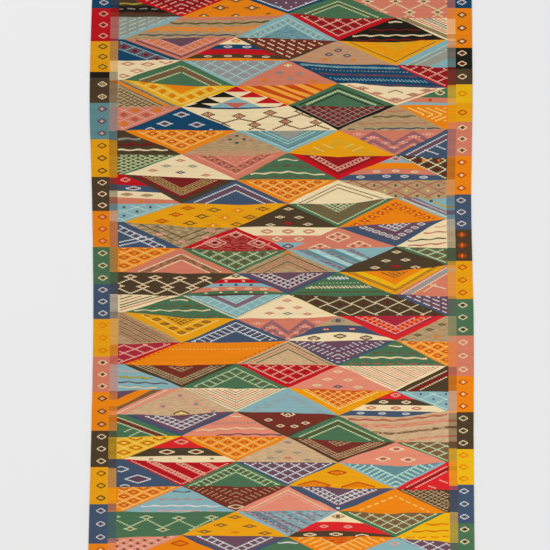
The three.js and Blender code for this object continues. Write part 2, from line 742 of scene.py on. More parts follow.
@figure
def ladders(patch, wool, *bands):
    """Bands parallel to the left slant, each two ropes with rungs between them."""
    near, far = patch.shallowest, patch.deepest
    for low, high in bands:
        for level in (low, high):
            rope(patch, patch.at(level, near), patch.at(level, far), wool, least=5)
        for n in range(round((far - near) / (high - low))):
            rung = near + n * (high - low)
            rope(patch, patch.at(low, rung), patch.at(high, rung), wool, least=5)


# %% Rows and loose figures
ROWS = {  # how high a row waves, the length of a wave, stitches on and off, and their pitch
    "line": (0, 60, 1, 0, 10),
    "wave": (1.9, 66, 1, 0, 9),
    "dash": (1.4, 70, 4, 2, 8),
    "dots": (0, 60, 1, 1, 7),
    "beads": (0, 60, 1, 0, 5.2),
    "zigzag": (3.4, 15, 1, 0, 5),
}
COMMON_ROW = ("wave", 5)  # what a row is when the chart doesn't say
SMALL = (22, 13, 9)  # width, height and length of the ears of a common outlined diamond
EARED = (36, 22, 14)


@figure
def rows(patch, *entries):
    """Rows across the patch: the distance below the upper waist, wool, kind and height."""
    left, right = patch.ends()
    for entry in entries:
        below, wool, kind, high = entry + COMMON_ROW[len(entry) - 2:]
        rise, length, on, off, pitch = ROWS[kind]
        for n in range(math.ceil((right - left) / pitch)):
            x = left + n * pitch
            y = patch.level(x, below) + rise * math.sin(2 * math.pi * (x + 5 * below) / length)
            if n % (on + off) < on and patch.holds(x, y) and patch.depth(x, y) > 7:
                swell = 1 + 0.2 * math.sin(x / 11 + below)
                stitch(wool, x, y, pitch * (1 if kind == "beads" else 1.35), high * swell)


@figure
def marks(patch, wool, core, size, *places):
    """Outlined diamonds at places counted from the tip and from the upper waist."""
    for place in places:
        diamond(patch, *patch.place(*place), wool, core, size, ROPE if size[1] > 21 else FINE)


@figure
def spots(patch, wool, wide, high, *places):
    """Filled diamonds at places counted in the same way."""
    for place in places:
        solid(patch, *patch.place(*place), wool, wide, high)


@figure
def ropes(patch, wool, high, *lines):
    """Single ropes, each between two places counted in the same way."""
    for numbers in lines:
        rope(patch, patch.place(*numbers[:2]), patch.place(*numbers[2:]), wool, high)


@figure
def linked(patch, wool, core, apart, first, down, start=0, feet=True, size=(34, 18, 10)):
    """Two rows of diamonds, each one joined by ropes to its neighbours in the other row."""
    for row in range(2):
        for n in range(-5, 6):
            x, y = patch.place(start + (n + row / 2) * apart, first + row * down)
            diamond(patch, x, y, wool, core, size)
            for way in (-1, 1) if feet or row == 0 else ():
                low_x = x + way * apart / 2
                low = (low_x, patch.level(low_x, first + (row + 1) * down - size[1] / 2))
                rope(patch, (x + way * 2, y - size[1] / 2), low, wool)


@figure
def lattice(patch, wool, cores, wide, high, over, below):
    """A level net of large diamonds whose cores change wool from row to row."""
    cores = cores.split()
    for row in range(-3, 6):
        for n in range(-8, 9):
            x, y = patch.place(over + (n + row % 2 / 2) * wide, below + row * high / 2)
            if row % 2 == 0:
                diamond(patch, x, y, wool, None, (wide, high, 0), FINE)
            solid(patch, x, y, cores[row % len(cores)], wide * 0.22, high * 0.17)


@figure
def quads(patch, wool, core, *places):
    """Large diamonds that a cross divides into four small ones, each with a core."""
    for place in places:
        x, y = patch.place(*place)
        diamond(patch, x, y, wool, None, (92, 42, 0))
        for way in (-1, 1):
            rope(patch, (x - 23, y - way * 10.5), (x + 23, y + way * 10.5), wool, 4.4)
            solid(patch, x + way * 24, y, core, 22, 8)
            solid(patch, x, y + way * 11, core, 22, 8)


@figure
def arrows(patch, wool, below, reach, rise, apart, first):
    """Bars that meet in arrow heads along a level line."""
    for n in range(-FEW, FEW):
        x, y = patch.place(first + n * apart, below)
        for way in (-1, 1):
            rope(patch, (x - reach, y + way * rise), (x, y), wool, 6.5, least=10)


@figure
def scattered(patch, wool, apart, down, length, depth=14):
    """Single floats set like bricks over the inside of a patch."""
    left, right = patch.ends()
    for row in range(1, FEW):
        for n in range(math.ceil((right - left) / apart) + 1):
            x = left + (n + row % 2 / 2) * apart
            y = patch.level(x, row * down)
            if patch.holds(x, y) and patch.depth(x, y) > depth:
                stitch(wool, x, y, length, 4.8)


print(len(ROWS), "kinds of row")

# %% [markdown]
# ## The chart of the field
# Here is the rug itself, band by band from the north end, seven patches in each from left to
# right. A patch names its ground and then its figures. Where the weaver kept one wool across
# a join, the next place says SAME and the two become one long patch.

# %% The chart
SAME = None
CHART = [[  # at the north end
    ("orange", net("butter", 30, 8)),
    ("slate", edged("white", 14, "plum", 14, "slate")),
    ("cream", marks("salmon", "grey", EARED, (0, 30), (-60, 64), (60, 64))),
    ("green", rows((22, "cream"), (48, "maroon", "dash"))),
    ("tan/flax", rows((18, "salmon"), (44, "olive"))),
    ("sky", edged("mint", 14, "teal", 14, "sky")),
    ("brown", net("cream", 30, 8)),
], [
    ("brown", band(44, 70, "black"),
     rows((36, "mustard", "wave", 7), (56, "grey", "dash"), (73, "maroon", "line", 4))),
    ("red", inner(12, "wine"), peaks("pink", 18, 17, ROPE, 3, 1)),
    ("orange", marks("bark", "cream", EARED, (0, 20), (-62, 52), (64, 52), (-128, 86), (0, 86), (132, 82))),
    ("navy", inner(14, "plum"), line(12, "white"), scattered("white", 40, 16, 10)),
    ("green", line(26, "sage"), line(33, "olive", 4), line(40, "sage")),
    ("salmon", linked("cream", "bark", 112, 26, 44)),
    SAME,
], [
    ("sky", inner(12, "grey"), *(line(depth, "mint", ROPE, 3, 1) for depth in range(14, 79, 16))),
    ("tan/flax", band(3, 13, "salmon"), band(40, 58, "orange/tan"),
     rows((26, "olive", "wave", 6), (73, "slate"))),
    SAME,
    ("sky", ladder(14, 27, 20, "mint", "grey"), inner(44, "teal/sky")),
    ("red", inner(17, "wine"), net("pink", 31, 20)),
    ("black", rows((17, "cream", "wave", 6), (48, "maroon"), (70, "cream", "wave", 6), (88, "maroon"))),
    ("cream", slats(0, (4, 22, "tan")),
     dashed((10, "olive"), (18, "olive"), (28, "salmon"), (36, "salmon"), (46, "slate"), (55, "slate"),
         (64, "salmon"), (74, "salmon"))),
], [
    ("navy", inner(16, "plum"), inner(46, "navy"), net("sky", 32, 14, 1, "maroon", 0.3)),
    ("salmon", line(14, "plum", 6), inner(54, "plum"), ladder(24, 28, 18, "pink", "orange")),
    ("cream",
     stripes(("cream", 28, ("orange", None, (32, 16, 0), 0)),
         ("navy", 18, ("white", "plum", (30, 12, 0), -32, 44)), ("red", 20),
         ("brown", 16, ("cream", None, (28, 10, 0), -112, -32, 48, 120)), ("orange", 12))),
    ("brown", inner(6, "chestnut"), strokes("cream", 16, 18, ROPE, 3, 1)),
    ("tan/salmon", marks("slate", None, (26, 16, 0), (0, 38), (-36, 56), (36, 58)),
     spots("orange", 26, 9, (-52, 76), (60, 74))),
    ("amber", line(15, "bark", 3.4), inner(28, "amber/orange"), inner(56, "amber/mustard")),
    ("sky", line(22, "mint"), inner(26, "grey"), line(40, "mint"), inner(72, "sky")),
], [
    ("cream", marks("salmon", None, (40, 18, 8), (16, 14), (96, 16), (168, 6), (52, 42), (-4, 62))),
    ("green", edged("sage", 22, "taupe", 17, "green")),
    ("sky", inner(8, "dove"), net("mint", 33, 10)),
    ("salmon", spots("cream", 34, 12, (0, 20)), spots("grey", 34, 12, (-36, 50), (44, 50), (8, 74)),
     spots("orange", 34, 12, (-96, 78), (100, 76))),
    ("navy",
     rows((12, "sky", "beads", 9), (26, "grey", "dots", 4), (42, "plum", "line", 9), (60, "sky", "zigzag"),
         (78, "plum", "beads", 6))),
    SAME,
    ("red", inner(6, "wine"), net("pink", 32, 8)),
], [
    ("tan/flax", line(10, "olive", 4), inner(16, "orange"), inner(26, "tan"), line(30, "olive", 4),
     net("olive", 14, 42, high=3.6)),
    ("yellow", inner(54, "orange"), net("butter", 32, 12, 1, "orange", 0.5, 6)),
    ("cream",
     wedges((0, 0, 100, 22, "red"), (-50, 22, 106, 22, "black"), (64, 22, 106, 22, "red"),
         (-114, 44, 110, 24, "black"), (130, 44, 110, 24, "red"), (-146, 66, 168, 22, "black"),
         (200, 66, 110, 24, "red"), (0, 44, 240, 46, "sky"), (0, 88, 104, -22, "brick")),
     band(86, 92, "navy", 0)),
    ("orange",
     slats(0, (12, 24, "gold"), (24, 36, "rust"), (36, 50, "gold"), (50, 62, "rust"), (62, 76, "gold"),
         (76, 88, "rust"), (88, 102, "gold"), (102, 114, "rust"))),
    ("green", dashed((18, "black"), (40, "black")), line(29, "sage", 7)),
    ("cream", line(10, "salmon"),
     marks("salmon", "grey", (40, 16, 8), (-78, 32), (70, 30), (-2, 52), (-134, 14), (126, 12)),
     ropes("olive", 4, (-30, 26, 0, 13), (0, 13, 30, 26))),
    ("green",
     stripes(("green", 40, ("cream", "bark", (34, 22, 0), -24)),
         ("salmon", 20, ("rust", None, (-24, 9), -64)),
         ("sky", 20, ("plum", None, (-16, 6), -110, -60, -10)))),
], [
    ("salmon", net("pink", 36, 8, hearts="orange brick brick", share=0.42)),
    ("navy", marks("white", "plum", (46, 24, 10), (0, 30), (-66, 66), (62, 66), (-124, 91), (118, 90)),
     spots("plum", 40, 14, (4, 94))),
    ("cream", linked("bark", "salmon", 124, 22, 42, 12, True, (40, 24, 8))),
    SAME,
    ("black", inner(12, "maroon"), net("grey", 18, 14, high=3.6)),
    ("tan/flax", rows((24, "salmon"), (44, "olive"), (70, "salmon"), (92, "slate"))),
    ("orange", arrows("butter", 36, 64, 27, 36, -16)),
], [
    ("brown", rows((34, "grey", "wave", 9), (56, "maroon", "wave", 9), (78, "cream", "wave", 7))),
    ("orange", net("honey", 33, 18, hearts="rust/butter", share=0.42, high=7)),
    ("tan/flax", spots("slate", 15, 6, (4, 22), (-24, 36), (32, 36), (4, 50)), band(82, 104, "tan/salmon"),
     spots("salmon", 16, 6, (-28, 24), (38, 24), (-54, 40), (60, 40))),
    ("sky", inner(17, "teal"), line(13, "mint"), dashed((27, "sky")), line(36, "mint"), line(47, "mint"),
     inner(54, "grey")),
    ("amber", inner(30, "amber/mustard"), inner(58, "amber"),
     ropes("butter", 5, (-100, 66, -56, 84), (100, 66, 56, 84), (-64, 54, -20, 72), (64, 54, 20, 72))),
    ("salmon", zigzags(160, 44, -88, "mauve/brick", (4, 17), (34, 17), (64, 12)),
     spots("pink", 52, 12, (-92, 30), (74, 28), (-148, 16), (130, 18)),
     spots("pink", 40, 11, (-40, 52), (30, 50), (-6, 70), (-92, 64), (74, 62))),
    ("slate", edged("white", 20, "plum", 14, "slate"),
     ropes("white", 5, (-88, 80, -30, 100), (-40, 66, 10, 84))),
], [
    ("green", inner(8, "olive/green"), net("sage", 13, 8, hearts="maroon", share=0.2, high=4.6)),
    ("cream", marks("salmon", None, SMALL, (-4, 24), (-114, 64), (98, 80), (-58, 92), (146, 100)),
     marks("grey", None, SMALL, (-60, 46), (46, 46), (-174, 84), (42, 98)),
     marks("slate", None, SMALL, (-4, 72))),
    ("salmon", line(22, "pink"), line(30, "brick", 3.6), chain(40, "bark/pink", 60, 26, 12),
     line(50, "brick", 3.6), line(58, "pink"), scattered("pink", 26, 12, 9, 64)),
    ("green", rows((26, "cream"), (50, "bark", "dash"), (76, "cream", "wave", 6), (92, "bark", "dash", 4))),
    ("red", inner(20, "wine"), net("pink", 14, 36, 1)),
    ("sky",
     stripes(("sky", 28, ("pink", "plum", (36, 18, 0), 0)), ("orange", 24),
         ("salmon", 20, ("cream", None, (26, 12, 0), -76, 0, 76)),
         ("slate", 20, ("white", None, (28, 14, 0), -140, -36, 36, 112)))),
    ("brown", net("cream", 36, 6, hearts="maroon", share=0.3),
     spots("orange", 26, 9, (-90, 14), (-30, 12))),
], [
    ("red",
     stripes(("red", 42, ("pink", None, (34, 20, 0), 6)), ("slate", 24, ("white", "plum", (56, 18, 0), 38)),
         ("cream", 26, ("tan", "salmon", (44, 14, 0), 12, 92)),
         ("salmon", 24, ("orange", None, (-28, 9), 64, 152)))),
    ("brown", inner(18, "maroon"), net("tan", 14, 32, 2, "mustard", 0.3, 3.8)),
    ("slate", edged("white", 18, "plum", 16, "slate")),
    ("orange", net("honey", 28, 16, hearts="rust/honey", share=0.42, high=7)),
    ("cream", line(18, "bark", 3.4), line(32, "bark", 3.4)),
    ("tan/flax", lattice("brick", "olive butter", 86, 42, 0, 22)),
    SAME,
], [
    ("sky", net("mint", 34, 8, hearts="plum", share=0.2, high=6.5)),
    ("amber", marks("rust", "orange", (34, 20, 12), (26, 18), (-22, 44), (-78, 70)),
     marks("olive", None, (34, 20, 12), (130, 22), (82, 50), (34, 78)),
     marks("orange", "butter", (34, 20, 12), (226, 22), (174, 52), (126, 84)),
     marks("bark", "orange", (34, 20, 12), (326, 18), (274, 50), (222, 78))),
    SAME,
    ("brown", marks("cream", None, (20, 14, 10), (2, 20), (-32, 52), (44, 54), (-70, 82), (80, 82)),
     marks("red", None, (20, 15, 10), (0, 78))),
    ("green", line(14, "sage"), inner(18, "taupe/green"), net("sage", 12, 62, high=4.2)),
    ("orange", line(18, "rust", 4, 1, 1), chain(28, "rust/butter", 56, 26, 13), line(40, "rust", 4, 1, 1)),
    ("sky", line(8, "cream"), inner(14, "mauve"), dashed((24, "white")), inner(34, "sky"),
     inner(40, "mustard/sky"), inner(52, "sky"), spots("slate", 24, 9, (-60, 12), (10, 30))),
], [
    ("slate", net("white", 22, 23, 1, "plum", 0.4),
     ropes("white", 5, (-30, 98, 120, 54), (-30, 84, 90, 50))),
    ("tan/olive", spots("pink", 60, 11, (-186, 22), (-86, 37), (2, 60), (94, 40), (122, 15)),
     line(22, "olive", 4), line(44, "olive", 4)),
    ("red", line(16, "pink"), inner(22, "wine/brick"),
     marks("pink", None, (88, 44, 0), (-84, 62), (92, 62)),
     marks("pink", "maroon", (46, 22, 0), (-84, 62), (92, 62), (0, 30))),
    ("cream",
     stripes(("cream", 32, ("salmon", None, (42, 18, 0), -84, 0, 84)),
         ("salmon", 28, ("cream", None, (34, 18, 0), -44, 44)),
         ("sky", 30, ("slate", "pink", (40, 20, 0), 0)))),
    ("salmon", quads("cream", "brick", (0, 38), (-72, 84), (84, 80))),
    ("slate", inner(22, "plum"), chain(34, "white/grey", 68, 28, 16), net("white", 13, 62, high=4.2)),
    ("cream", rows((28, "pink"), (50, "salmon"), (76, "olive"), (96, "brick"))),
], [
    ("orange", net("honey", 34, 8, hearts="rust/honey", share=0.42, high=7)),
    ("salmon", edged("cream", 22, "taupe/salmon", 16, "salmon")),
    ("green", inner(14, "green/taupe"), net("sage", 32, 14, hearts="olive", share=0.3)),
    ("tan/flax", spots("orange", 40, 10, (0, 12)),
     dashed((16, "olive"), (26, "salmon"), (36, "salmon"), (46, "olive"), (56, "salmon"))),
    ("sky",
     slats(0, (12, 24, "mauve/sky"), (26, 38, "teal"), (40, 54, "mint/sky"), (56, 68, "mauve/sky"),
         (70, 84, "teal"), (86, 100, "mint/sky"), (102, 114, "mauve/sky"))),
    ("brown", marks("cream", None, (24, 14, 8), (4, 22), (-38, 56), (40, 52), (80, 80), (-82, 82)),
     marks("red", None, (24, 14, 8), (0, 80))),
    ("green", inner(8, "green/taupe"), net("sage", 28, 10, hearts="bark", share=0.3)),
], [
    ("brown", linked("cream", "maroon", 99, 18, 38, -6)),
    SAME,
    ("cream",
     stripes(("cream", 22, ("olive", None, (30, 14, 0), 0)), ("red", 16, ("pink", None, (-24, 8), -40, 30)),
         ("sky", 14, ("slate", None, (-24, 7), -60, 0, 60)),
         ("salmon", 16, ("cream", None, (24, 10, 0), -84, -20, 50, 110)),
         ("green", 12, ("cream", None, (-14, 4), -120, -60, 0, 60, 120)),
         ("brown", 16, ("maroon", None, (-34, 6), -150, -60, 40, 130)), bow=12)),
    ("slate", inner(12, "plum"), net("white", 15, 24, 2, "maroon", 0.3, 4.4)),
    ("green",
     rows((24, "white", "zigzag", 9), (44, "sage", "dots", 3), (60, "cream", "zigzag", 6),
         (80, "olive", "line", 4))),
    ("amber", line(14, "bark", 3), line(20, "bark", 3), inner(24, "yellow"), inner(38, "orange"),
     net("olive", 12, 66, high=2.8)),
    ("salmon", edged("cream", 12, "dove", 16, "salmon"),
     ropes("cream", 5, (-64, 70, 0, 96), (-90, 96, -40, 70))),
], [
    ("cream",
     dashed((12, "salmon"), (22, "olive"), (32, "olive"), (44, "salmon"), (56, "olive"), (68, "salmon"))),
    ("green", rows((18, "cream"), (42, "bark", "dash"), (60, "cream"), (84, "bark", "dash", 4))),
    ("sky", line(4, "cream"), inner(8, "teal"), inner(14, "sky"), net("mint", 26, 14, 1),
     inner(44, "mauve"), inner(60, "sky"), net("mint", 14, 62, high=4.2)),
    ("cream", marks("salmon", None, (22, 13, 8), (-4, 24), (-32, 54), (38, 50), (78, 74), (-74, 74)),
     marks("grey", None, (22, 13, 8), (-2, 76))),
    ("brown", lattice("cream", "maroon olive", 95, 46, 112, 30)),
    SAME,
    ("slate", inner(8, "plum"), *(line(depth, "white", 5, 3, 1) for depth in range(14, 63, 16))),
], [
    ("tan/flax",
     dashed((14, "brick"), (24, "olive"), (34, "brick"), (44, "olive"), (54, "brick"), (64, "olive"),
         (74, "brick"), (84, "olive"), (94, "brick"))),
    ("amber", line(26, "butter"), chain(40, "olive/orange", 60, 32, 14), line(56, "butter"),
     net("olive", 12, 72, high=3)),
    ("slate", ladder(15, 32, 17, "white", "plum")),
    ("salmon", zigzags(132, 46, -64, "mauve/brick", (6, 17), (36, 17), (66, 12)),
     spots("pink", 48, 11, (-66, 36), (66, 36), (-120, 20), (120, 20)),
     spots("pink", 34, 10, (-28, 60), (34, 60), (0, 82), (-66, 62))),
    ("tan/flax",
     stripes(("tan", 36, ("grey", "plum", (54, 22, 0), 0)),
         ("slate", 28, ("plum", "pink", (40, 18, 0), -48, 56)),
         ("cream", 32, ("olive", "pink", (46, 20, 0), -96, 8, 112)), bow=22)),
    ("scarlet", inner(17, "berry"), inner(28, "scarlet"), inner(56, "berry"),
     ladder(27, 29, 17, "pink", "orange")),
    ("tan/flax", marks("olive", None, (18, 13, 8), (-168, 96), (-114, 76), (-66, 54), (-16, 34)),
     marks("orange", None, (18, 13, 8), (-36, 82))),
], [
    ("red", inner(8, "berry"), net("pink", 32, 12)),
    ("orange", line(6, "rust", 3, 1, 1), rows((27, "honey", "dots", 4))),
    SAME,
    ("sand/tan", dashed((10, "olive"), (22, "salmon"), (34, "olive"))),
    ("slate", inner(8, "plum"), peaks("white", 16, 15, 4.2, 3, 1, most=66)),
    ("green",
     rows((22, "cream"), (48, "bark", "dash"), (68, "cream", "wave", 7), (92, "brick", "dash", 4))),
    ("orange", net("honey", 34, 8, hearts="rust/honey", share=0.42, high=7)),
], [
    ("sky", rows((28, "pink", "wave", 4), (52, "mustard", "wave", 7), (72, "plum"), (92, "cream"))),
    ("brown", net("tan", 10, 14, 2, high=4), inner(36, "chestnut"), net("tan", 12, 64, high=4)),
    ("green", ladder(18, 32, 24, "sage", "bark")),
    ("red", inner(14, "red/wine"), net("pink", 31, 16)),
    ("rose", marks("cream", None, (24, 14, 8), (0, 24), (-42, 56), (40, 58), (-84, 80), (80, 86)),
     marks("slate", None, (24, 14, 8), (0, 84))),
    ("cream", strokes("pink", 8, 18, 5), strokes("olive", 17, 36, 2.8), strokes("salmon", 35, 36, 3)),
    ("brown", line(20, "cream", 4.2), inner(24, "maroon"), inner(40, "brown"), line(44, "cream", 4.2)),
], [
    ("rose", inner(28, "taupe"), inner(46, "orange"), inner(70, "plum"), line(10, "pink", 4.4),
     line(18, "cream")),
    ("sand/tan", marks("pink", "grey", (46, 22, 0), (-6, 32), (-74, 70), (58, 64), (-142, 100), (126, 92)),
     marks("olive", "butter", (60, 26, 0), (0, 104))),
    ("cream",
     dashed((8, "grey"), (17, "salmon"), (26, "salmon"), (36, "grey"), (46, "salmon"), (56, "salmon"),
         (66, "grey"), (76, "salmon"))),
    ("sky", inner(20, "sky/dove"), inner(40, "sky")),
    ("amber/orange", line(26, "butter"), inner(31, "rust/orange"), net("honey", 20, 34)),
    ("red",
     stripes(("scarlet", 32, ("pink", None, (34, 18, 0), 0)),
         ("brown", 24, ("cream", None, (32, 15, 0), -48, 42)),
         ("cream", 24, ("salmon", None, (36, 15, 0), -98, 0, 84)),
         ("slate", 20, ("white", None, (26, 12, 0), -140, -54, 42, 122)))),
    ("sky", net("mint", 40, 8, hearts="plum", share=0.16, high=7)),
], [
    ("green", edged("sage", 20, "chestnut", 12, "green"),
     ropes("sage", 5, (0, 70, 40, 52), (20, 88, 70, 64))),
    ("slate", inner(12, "plum"), net("white", 16, 26, 2, high=4.4)),
    ("rose", rows((18, "cream"), (44, "grey", "dots"), (66, "cream"), (90, "plum"))),
    ("brown", inner(6, "chestnut"),
     marks("cream", "brown", (24, 15, 5), (26, 54), (70, 38), (-78, 31), (-30, 54)),
     net("cream", 12, 80, high=4.2)),
    ("green", line(18, "sage"), line(29, "olive", 8), line(40, "sage")),
    ("sand/tan", band(30, 44, "salmon/sand"), band(60, 70, "taupe/sand"), band(94, 102, "salmon/sand"),
     rows((14, "brick", "wave", 7), (66, "bark", "dash", 4))),
    SAME,
], [
    ("yellow", net("butter", 38, 8, hearts="rust/butter", share=0.5)),
    ("red",
     stripes(("scarlet", 46, ("pink", "rust", (50, 22, 0), 0)),
         ("brown", 32, ("cream", "maroon", (58, 21, 0), -58, 58)),
         ("cream", 22, ("grey", None, (-30, 7, 0), -122, -6, 122)))),
    ("orange", net("honey", 32, 14, hearts="rust/honey", share=0.36, high=7)),
    ("sand/tan", marks("grey", None, (20, 12, 8), (0, 20), (-36, 58), (36, 60), (-68, 84), (78, 86)),
     marks("salmon", None, (20, 12, 8), (0, 84))),
    ("brown", inner(10, "chestnut"), net("tan", 10, 14, 2, high=4), net("tan", 12, 66, high=4)),
    ("rose", marks("cream", "brick", (54, 22, 0), (4, 28), (-50, 68), (50, 70))),
    ("green", inner(6, "taupe"), net("sage", 28, 8)),
], [
    ("slate", marks("white", "plum", (100, 36, 0), (56, 76)),
     marks("white", None, (60, 26, 0), (-12, 40), (4, 112), (128, 112))),
    ("red",
     slats(0, (0, 34, "red/wine"), (34, 48, "salmon/red"), (48, 82, "red/wine"), (82, 96, "salmon/red"),
         (96, 128, "red/wine"), (128, 142, "salmon/red")), ladders("pink", (34, 48), (82, 96), (128, 142)),
     line(8, "pink", 4.2)),
    ("green", ladder(13, 29, 18, "sage", "olive")),
    ("slate", inner(8, "plum"), net("white", 28, 10)),
    ("amber", marks("rust", "orange", (72, 22, 0), (-4, 40)),
     marks("rust", "orange", (130, 42, 0), (-96, 92), (80, 92))),
    ("sky", inner(10, "teal"), peaks("mint", 12, 18, 9, most=46), line(48, "mint", 8)),
    ("scarlet", edged("pink", 18, "wine", 12, "scarlet"),
     ropes("pink", 5, (-28, 68, 8, 84), (-72, 88, -40, 102))),
], [
    ("orange", net("honey", 34, 8, hearts="rust/honey", share=0.45, high=8)),
    ("sky",
     rows((22, "slate", "wave", 4), (52, "salmon", "dash", 4), (78, "white", "wave", 7),
         (98, "pink", "wave", 4))),
    ("chestnut", peaks("tan", 12, 16, 4.2, 3, 1), marks("cream", None, (60, 20, 0), (0, 78))),
    ("rose", line(18, "cream", 4.6), line(30, "pink", 7)),
    ("slate", inner(16, "plum"), net("white", 16, 26, 2), spots("white", 16, 6, (0, 80))),
    ("orange", line(30, "butter", 6, 2, 1)),
    ("brown", net("tan", 14, 6, high=4.4)),
], [
    ("green", linked("sage", "bark", 130, 22, 48, -10, False)),
    SAME,
    ("amber", marks("bark", None, (32, 16, 12), (-4, 24), (-60, 54), (54, 60), (-126, 78), (116, 88)),
     marks("orange", None, (18, 11, 10), (-4, 84))),
    ("sky", inner(12, "sky/mauve"),
     slats(0, (12, 24, "mauve/sky"), (30, 40, "teal/mauve"), (44, 56, "mauve/sky"), (60, 72, "sky/teal"),
         (76, 88, "sky/mauve"), (90, 100, "teal/sky")), strokes("slate", 27, 30, 3, 2, 1),
     strokes("pink", 18, 30, 3, 2, 1)),
    ("cream",
     stripes(("cream", 42, ("tan", "bark", (48, 20, 0), 0)),
         ("scarlet", 36, ("pink", None, (30, 14, 0), -56, 40)),
         ("brown", 28, ("cream", "maroon", (48, 15, 0), -112, -8, 96)), bow=7)),
    ("green", inner(16, "taupe"), net("sage", 30, 15)),
    ("yellow", rows((46, "orange", "wave", 7), (72, "rust", "wave", 3.6), (96, "orange", "dash"))),
], [
    ("rose", net("pink", 24, 8, hearts="bark", share=0.24, high=8)),
    ("orange", marks("rust", "orange", (64, 26, 0), (-6, 32))),
    ("slate", inner(12, "plum"), net("white", 22, 26, 1)),
    ("green", rows((24, "white", "wave", 6))),
    ("orange", inner(58, "rust/orange"), peaks("honey", 14, 19, 8, most=54), line(56, "honey", 7)),
    ("sky", marks("pink", None, (36, 16, 0), (-4, 26))),
    ("slate", inner(6, "plum"), net("white", 30, 6)),
], [  # at the south end
    ("sand/tan", rows((26, "salmon"), (52, "olive"))),
    ("green", net("sage", 30, 8)),
    ("cream", line(18, "bark"), line(32, "bark")),
    ("red", inner(18, "maroon"), net("pink", 20, 22, 1)),
    ("slate", edged("white", 14, "plum", 14, "slate")),
    ("amber", marks("rust", None, EARED, (0, 30), (-60, 64), (60, 64))),
    ("rose", net("cream", 30, 8)),
]]


def weave(upper, lower, designs):
    """Weaves one band: lays its patches and works their figures."""
    ahead = int(any(x == OUTER_AXES[0] for x, _ in upper))
    kinds = (OUTER_AXES, INNER_AXES) if ahead else (INNER_AXES, OUTER_AXES)
    tops, lows = ([p for p in row if p[0] in axes] for row, axes in zip((upper, lower), kinds))
    slants = [(tops[(n + ahead) // 2], lows[(n + 1 - ahead) // 2]) for n in range(6)]
    sides = [(upper[0], lower[0]), *slants, (upper[-1], lower[-1])]
    n = 0
    while n < len(designs):
        ground, *figures = designs[n]
        last = n + 1
        while last < len(designs) and designs[last] is SAME:
            last += 1
        patch = Patch(upper, lower, sides[n], sides[last], ground)
        for draw in figures:
            draw(patch)
        n = last


for upper, lower, designs in zip(LINES, LINES[1:], CHART):
    weave(upper, lower, designs)
print(len(LAID), "areas of wool and", len(STITCHES), "stitches in the field")

# %% [markdown]
# ## Ends and borders
# Beyond the last waist lines the cloth is plain. The borders are blocks of one wool, with up to
# three small diamonds. Between border and field, both wools share the picks: one pick of the
# border's wool, one of the field's. The column takes its two wools from what lies beside it.

# %% Border blocks
# Blocks from north to south: where the block ends, its wool, and its diamonds' two wools
LEFT_BLOCKS = [
    (1206, "orange", "rust", "cream"),
    (1066, "navy", "white", "plum"),
    (934, "red", "pink", "brown"),
    (812, "amber", "olive", None),
    (788, "black", None, None),
    (688, "brown", "cream", "tan"),
    (542, "teal", "plum", "pink"),
    (392, "amber", "brown", None),
    (256, "brown", "cream", "maroon"),
    (112, "orange", "rust", "pink"),
    (-36, "green", "cream", "olive"),
    (-176, "slate", "white", "plum"),
    (-326, "amber", "orange", None),
    (-468, "salmon", "cream", "brown"),
    (-622, "orange", "brown", "pink"),
    (-768, "brown", "cream", "brown"),
    (-916, "amber", "brown", None),
    (-1074, "slate", "white", "plum"),
    (-1220, "orange", "rust", "cream"),
    (-END, "red", None, None),
]
RIGHT_BLOCKS = [
    (1210, "green", "cream", "brown"),
    (1066, "navy", "white", "plum"),
    (908, "orange", "brown", "cream"),
    (824, "black", "cream", "maroon"),
    (762, "brown", "cream", "maroon"),
    (688, "yellow", "orange", None),
    (612, "amber", "rust", None),
    (476, "salmon", "cream", "brown"),
    (322, "orange", "rust", "cream"),
    (182, "slate", "white", "plum"),
    (56, "brown", "rust", "orange"),
    (-96, "amber", "rust", None),
    (-242, "green", "cream", "brown"),
    (-404, "salmon", "cream", None),
    (-548, "orange", "rust", "cream"),
    (-696, "brown", "cream", None),
    (-838, "yellow", "orange", None),
    (-992, "slate", "white", None),
    (-1140, "green", "cream", "brown"),
    (-END, "amber", "brown", None),
]

BLOCK_DIAMOND = (32, 24, 0)  # width and height of a border diamond, which has no ears
FOR_THREE, FOR_TWO = 100, 80  # a block has to be longer than this for three diamonds, or two

# The last number says how far the diamonds stand outside the border's inner edge.
for column, blocks, off in ((0, LEFT_BLOCKS, -28), (1, RIGHT_BLOCKS, 26)):
    top = END
    for low, wool, outline, heart in blocks:
        outer = edge_points(SELVEDGES, column, top, low)
        near = edge_points(BORDER_LINES, column, top, low)
        under = UNDER if column == 0 else -UNDER
        lay(spun(wool), outer + [(x + under, y) for x, y in near[::-1]])
        count = 3 if top - low > FOR_THREE else 2 if top - low > FOR_TWO else 1
        for n in range(count if outline else 0):
            y = top + (low - top) * (n + 0.5) / count
            x = between(BORDER_LINES, y, column) + off
            diamond(None, x, y, outline, heart, BLOCK_DIAMOND)
        top = low
print(len(LAID), "areas of wool with the borders")

# %% The shared picks beside the borders
SHARED_STEP = 8.8  # how far along the rug the two wools share alike before they are asked again
NEAR = 90  # an area that comes no nearer than this to the column isn't looked at


def holds_point(outline, x, y):
    """Whether a point lies inside an outline, by counting the sides to its right."""
    inside = False
    for (ax, ay), (bx, by) in zip(outline, outline[1:] + outline[:1]):
        if (ay > y) != (by > y) and x < ax + (bx - ax) * (y - ay) / (by - ay):
            inside = not inside
    return inside


def ground_at(areas, x, y):
    """The yarn that shows at one point of the field."""
    seen = set()
    for number in areas:
        made_of, inside, outline = LAID[number]
        if (inside is None or inside in seen) and holds_point(outline, x, y):
            seen.add(number)
    return LAID[max(seen)][0]


